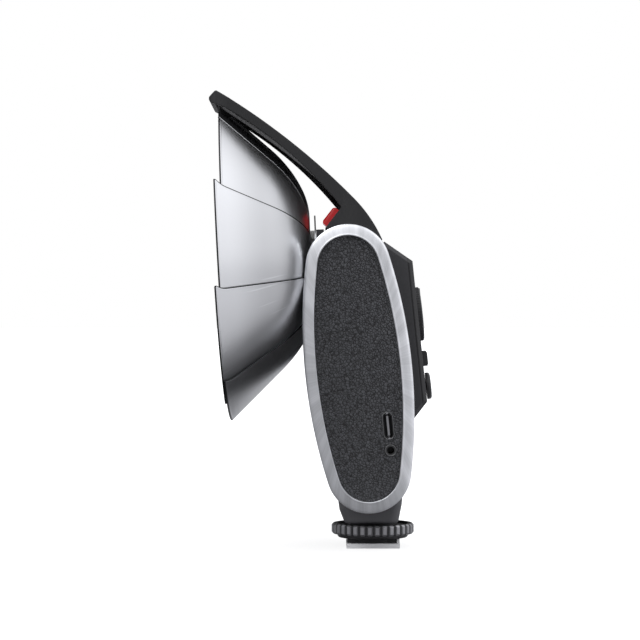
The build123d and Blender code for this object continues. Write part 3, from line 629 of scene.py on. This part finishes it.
def bowl_depth(bowl, radius, out):
    """Depth of a bowl in front of the hub at a radius, out millimetres outside its base curve."""
    back, arc_1, bend_1, arc_2, bend_2 = bowl
    growth = arc_2 - arc_1
    centre_1 = (flat_root, back + arc_1)
    centre_2 = (centre_1[0] - growth * math.sin(bend_1), centre_1[1] + growth * math.cos(bend_1))
    knee_1 = centre_1[0] + (arc_1 + out) * math.sin(bend_1)
    knee_2 = centre_2[0] + (arc_2 + out) * math.sin(bend_2)
    if radius < flat_root:
        return back - out
    if radius < knee_1:
        return centre_1[1] - math.sqrt((arc_1 + out) ** 2 - (radius - centre_1[0]) ** 2)
    if radius < knee_2:
        return centre_2[1] - math.sqrt((arc_2 + out) ** 2 - (radius - centre_2[0]) ** 2)
    return centre_2[1] - (arc_2 + out) * math.cos(bend_2) + (radius - knee_2) * math.tan(bend_2)


def on_dish(turn, radius, depth, sign=1):
    """A point in metres at a clockwise turn, radius and depth in the dish's own frame."""
    forward = Vector((0, -math.cos(dish_tilt), -math.sin(dish_tilt)))
    upward = Vector((0, -math.sin(dish_tilt), math.cos(dish_tilt)))
    flat = radius * (sign * math.sin(turn) * Vector((1, 0, 0)) + math.cos(turn) * upward)
    return hub_place + MM * (flat + depth * forward)


def spaced(reach, steps):
    """Distances from 0 to reach, closer together near both ends, where the edges are rolled."""
    near = [0.0, 0.12, 0.3, 0.55, 0.9, 1.4, 2.2, 3.4]
    middle = [near[-1] + (reach - 2 * near[-1]) * i / steps for i in range(1, steps)]
    return near + middle + [reach - distance for distance in reversed(near)]


class Leaf:
    """One leaf: where its edges run, and points on it by its turn and reach.

    lead and trail are the turns of its two edges in degrees, behind sets the leading edge
    back from the axis, slant tips the rim in, and tab draws the first corner out. The sheet
    lies between inner and outer, measured outside the base curve of its bowl. The outside
    is lacquered black for band_width from the leading edge, where there is a band.
    """

    root = 8.6
    eye_bore, eye_rim = 6.1, 8.95
    tab_reach = 3.4
    # Attribute values well clear of the bead and well clear of the lacquer
    inland, no_band = 3.0, -9.0

    def __init__(self, name, sign, bowl, inner, outer, rim, lead, trail, corners,
                 behind=0.0, slant=0.0, tab=0.0, band_width=no_band):
        self.name, self.sign, self.bowl, self.inner, self.outer = name, sign, bowl, inner, outer
        self.lead, self.behind, self.slant, self.tab, self.corners = lead, behind, slant, tab, corners
        self.rim, self.band_width = rim, band_width
        self.start = self.edge(rim)
        self.end = math.radians(trail)
        self.length = (self.end - self.start) * rim

    def edge(self, radius):
        """Turn of the leading edge at a radius."""
        drawn = max(0.0, (radius - self.rim + self.tab_reach) / self.tab_reach)
        return math.radians(self.lead - self.tab * drawn ** 2) + math.asin(self.behind / radius)

    def limit(self, turn):
        """Radius of the rim at a turn, with its corners rounded."""
        radius = self.rim - self.slant * math.sin(max(0.0, turn - self.start))
        for gap, corner in ((turn - self.start, self.corners[0]), (self.end - turn, self.corners[1])):
            run = max(0.0, gap * self.rim)
            if run < corner:
                radius -= corner - math.sqrt(corner ** 2 - (corner - run) ** 2)
        return radius

    def spot(self, run, back, out):
        """Point on the leaf, with its distances from the leading edge and from the rim in mm."""
        share = run / self.length
        limit = self.limit(self.start + share * (self.end - self.start))
        radius = max(self.root, limit - back * (limit - self.root) / (self.rim - self.root))
        first = self.edge(radius)
        turn = first + share * (self.end - first)
        place = on_dish(turn, radius, bowl_depth(self.bowl, radius, out), self.sign)
        return place, (turn - first) * radius, limit - radius

    def build(self, piece_name, node, body):
        """Make the sheet with its eye and put it in the place of its node."""
        loops, edge, band = [], [], []
        backs = spaced(self.rim - self.root, 26)
        for run in spaced(self.length, 40):
            skin = [self.spot(run, back, self.outer) for back in backs]
            skin += [self.spot(run, back, self.inner) for back in reversed(backs)]
            loops.append([place for place, _, _ in skin])
            edge += [min(from_lead, 1.3 * from_rim, self.inland) for _, from_lead, from_rim in skin]
            band += [self.band_width - from_lead for _, from_lead, _ in skin[:len(backs)]]
            band += [self.no_band] * len(backs)
        section = ((self.eye_bore, self.inner), (self.eye_rim, self.inner),
                   (self.eye_rim, self.outer), (self.eye_bore, self.outer))
        eye = [[on_dish(math.radians(6 * i), radius, self.bowl[0] - out) for radius, out in section]
               for i in range(60)]
        edge += [self.inland] * (len(eye) * len(section))
        band += [self.no_band] * (len(eye) * len(section))
        values = {"edge_mm": edge, "band": band}
        piece = built(piece_name, [woven(loops), woven(eye, around=True)], leaf_sheet, body, values=values)
        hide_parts(node)


# Lead, trail, rim and set-back of each side leaf, from the top down. The first leaf has no
# tab, and a rounder corner and a band of black lacquer instead.
leaf_sizes = ((20.0, 72.0, 54.0, 0.0), (62.2, 113.0, 55.2, 2.1),
              (96.5, 152.0, 55.9, 4.8), (135.0, 185.0, 54.8, 3.5))
sheet, clearance = 0.2, 0.05
side_leaves = []
for side, sign, first_level in (("right", 1, 1), ("left", -1, 0)):
    for number, (lead, trail, rim, behind) in enumerate(leaf_sizes):
        inner = clearance + (sheet + clearance) * (2 * number + first_level)
        extras = {"tab": 1.7, "corners": (0.9, 1.1)} if number else {"band_width": 7.5, "corners": (3.0, 1.1)}
        leaf = Leaf(side + "_" + str(number + 1), sign, side_bowl, inner, inner + sheet,
                    rim + inner / math.sin(side_bowl[4]), lead, trail, behind=behind, slant=0.95, **extras)
        leaf.build("fan_leaf_" + leaf.name, "leaf_" + leaf.name, "fan_" + leaf.name)
        side_leaves.append(leaf)

# Leaf edges
# The cut edge of each side leaf is a fine bead, painted dark as a painted shade in the seam,
# which runs up its leading edge, round the corner and along the rim.
# The bead's near-black steel is a painted shade along each seam.
edge_steel = Finish("edge_steel", (0.06, 0.06, 0.062), 0.35, 1.0)
edge_steel.set("Roughness", 0.3 + edge_steel.noise(900.0) * 0.1)
for leaf in side_leaves:
    middle = leaf.inner + sheet / 2
    backs = spaced(leaf.rim - leaf.root, 30)[3:-10]
    runs = spaced(leaf.length, 40)[1:-3]
    bead_line = [leaf.spot(0.06, back, middle)[0] for back in reversed(backs)]
    bead_line += [leaf.spot(run, 0.08, middle)[0] for run in runs]
    bead_sizes = {"Thickness": 0.12 * MM, "Sides": 6}
    wire.grown("leaf_edge_" + leaf.name, line_of(bead_line), bead_sizes, edge_steel, "fan_" + leaf.name)

# Top leaf
# The leaf that turns the fan: brushed inside like the others and lacquered black all over
# the outside, where it slides under the arm.
top_half = 21.4
top_bowl = (1.3, 24.0, math.radians(31), 47.0, math.radians(54))
top_leaf = Leaf("top", 1, top_bowl, -0.3, 0.0, 49.4, -top_half, top_half, (4.5, 4.5), band_width=90.0)
top_leaf.build("fan_leaf_top", "top_leaf", "fan_top")

# Guard strip
# A black moulded strip that stiffens the back of the top leaf, with a polished wire let in
# along each side.
soft_black = Finish("soft_black", (0.014, 0.014, 0.015), 0.45)
soft_black.set("Roughness", 0.38 + soft_black.noise(1800.0) * 0.18)
soft_black.bump(soft_black.noise(2400.0), 0.00002, 0.2, edge=0.00025)
soft_black.on("guard_strip")
wire_steel = Finish("wire_steel", (0.9, 0.9, 0.91), 0.25, 1.0)
wire_steel.set("Roughness", 0.2 + wire_steel.noise(900.0) * 0.1)
wire_start, wire_end, wire_offset, wire_out = 17.0, 49.0, 7.8, -0.09
for side, sign in (("left", -1), ("right", 1)):
    wire_line = []
    for step in range(60):
        radius = wire_start + (wire_end - wire_start) * step / 59
        depth = bowl_depth(side_bowl, radius, wire_out)
        wire_line.append(on_dish(math.asin(wire_offset / radius), radius, depth, sign))
    wire_sizes = {"Thickness": 0.11 * MM, "Sides": 6}
    wire.grown("guard_wire_" + side, line_of(wire_line), wire_sizes, wire_steel, "fan_top")

# Hub
# A steel disc, a tube and a flat nut, all turned and polished, clamp the leaves' eyes and
# carry the lamp.
hub_steel = Finish("hub_steel", (0.6, 0.61, 0.62), 0.26, 1.0)
hub_steel.set("Roughness", 0.2 + hub_steel.noise(1200.0) * 0.2)
hub_steel.on("hub_disc", "hub_nut", "hub_tube")

# Lamp
# A bright plated cup holds a short flash tube behind a clear domed lens, in a black moulded
# housing that is pushed on the end of the hub.
casing_black.on("lamp_housing")
cup_chrome = Finish("cup_chrome", (0.88, 0.88, 0.89), 0.08, 1.0)
cup_chrome.set("Roughness", 0.06 + cup_chrome.noise(300.0) * 0.06)
cup_chrome.on("lamp_reflector")
tube_glass = Finish("tube_glass", (0.95, 0.93, 0.86), 0.08, Transmission_Weight=0.6)
tube_glass.set("Roughness", 0.05 + tube_glass.noise(300.0) * 0.06)
tube_glass.on("flash_tube")
lens_clear = Finish("lens_clear", (0.95, 0.96, 0.97), 0.05, Transmission_Weight=0.9, IOR=1.49)
lens_clear.set("Roughness", 0.03 + lens_clear.noise(400.0) * 0.05)
lens_clear.on("lamp_lens")


# Arm
# A moulded black channel with a liner, which folds over the closed fan on a steel cross pin.
# Its red release key is a glossy moulding, with a faint painted glow that lightens it.
def corner_round(before, corner, after, radius, steps=8):
    """Points of an arc that rounds one corner of a side view."""
    come = (Vector(before) - Vector(corner)).normalized()
    go = (Vector(after) - Vector(corner)).normalized()
    half = come.angle(go) / 2
    centre = Vector(corner) + (come + go).normalized() * radius / math.sin(half)
    first = (Vector(corner) + come * radius / math.tan(half) - centre).normalized()
    last = (Vector(corner) + go * radius / math.tan(half) - centre).normalized()
    return [tuple(centre + first.slerp(last, step / steps) * radius) for step in range(steps + 1)]


def within_outline(name, node, outline, body, finish):
    """Put the part of a CAD piece that lies inside a side view in the place of the piece."""
    whole = bmesh.new()
    whole.from_mesh(frame["nodes"][node].data)
    bmesh.ops.remove_doubles(whole, verts=whole.verts, dist=0.002 * MM)
    mesh = bpy.data.meshes.new(name)
    whole.to_mesh(mesh)
    whole.free()
    piece = bpy.data.objects.new(name, mesh)
    half_width = 30
    corners = [(x * MM, y * MM, z * MM) for x in (-half_width, half_width) for y, z in outline]
    size = len(outline)
    walls = [(i, (i + 1) % size, size + (i + 1) % size, size + i) for i in range(size)]
    ends = [tuple(range(size)), tuple(range(2 * size - 1, size - 1, -1))]
    prism = bpy.data.meshes.new("prism")
    prism.from_pydata(corners, [], walls + ends)
    limit = bpy.data.objects.new("limit", prism)
    for made in (piece, limit):
        bpy.context.scene.collection.objects.link(made)
    cut = piece.modifiers.new("cut", "BOOLEAN")
    cut.operation = "INTERSECT"
    cut.solver = "EXACT"
    cut.object = limit
    evaluated = piece.evaluated_get(bpy.context.evaluated_depsgraph_get())
    piece.data = bpy.data.meshes.new_from_object(evaluated)
    piece.modifiers.clear()
    bpy.data.objects.remove(limit)
    piece.data.polygons.foreach_set("use_smooth", [True] * len(piece.data.polygons))
    piece.data.set_sharp_from_angle(angle=math.radians(30))
    piece.data.materials.clear()
    piece.data.materials.append(finish.material)
    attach(piece, body)
    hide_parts(node)


arm_black = Finish("arm_black", (0.012, 0.012, 0.013), 0.5)
arm_texture = arm_black.noise(2400.0)
arm_clouds = arm_black.noise(50.0)
arm_black.set("Roughness", 0.42 + arm_texture * 0.2)
arm_black.set("Base Color", arm_black.tones(arm_clouds, (0.008, 0.008, 0.009), (0.014, 0.014, 0.015)))
arm_black.bump(arm_texture, 0.00003, 0.3, edge=0.0006)
above, brow, nose, below, behind = (60, 108), (-54.5, 158.6), (-57.2, 156.0), (-0.6, 50), (60, 50)
rounded_nose = [above, *corner_round(above, brow, nose, 2.2), *corner_round(brow, nose, below, 1.7),
                below, behind]
within_outline("arm_cover", "arm_shell", rounded_nose, "arm", arm_black)
soft_black.on("arm_liner")
screw_steel.on("arm_pin")
# The key glows faintly red though it is no lamp, a painted glow that lightens it.
key_red = Finish("key_red", (0.95, 0.025, 0.03), 0.3, Coat_Weight=0.3,
                 Emission_Color=(0.5, 0.01, 0.012, 1), Emission_Strength=0.35)
key_red.set("Roughness", 0.26 + key_red.noise(900.0) * 0.12)
key_red.on("red_button")

# Inside
# Behind the casing are the battery in its blue sleeve, the black can of the capacitor, the
# copper coil and two boards, the green one that drives the tube and the black one with the dial.
board_green = Finish("board_green", (0.03, 0.16, 0.07), 0.4)
board_clouds = board_green.noise(700.0)
board_green.set("Base Color", board_green.tones(board_clouds, (0.02, 0.12, 0.05), (0.04, 0.2, 0.09)))
board_green.on("main_board")
board_black = Finish("board_black", (0.012, 0.012, 0.013), 0.45)
board_black.set("Roughness", 0.4 + board_black.noise(700.0) * 0.15)
board_black.on("control_board")
cell_blue = Finish("cell_blue", (0.06, 0.12, 0.3), 0.3)
cell_blue.set("Roughness", 0.25 + cell_blue.noise(200.0) * 0.2)
cell_blue.on("battery")
can_black = Finish("can_black", (0.04, 0.04, 0.05), 0.3)
can_black.set("Roughness", 0.25 + can_black.noise(200.0) * 0.2)
can_black.on("main_capacitor")
coil_copper = Finish("coil_copper", (0.7, 0.33, 0.14), 0.35, 1.0)
coil_copper.set("Roughness", 0.3 + coil_copper.noise(1800.0) * 0.2)
coil_copper.on("charge_transformer")
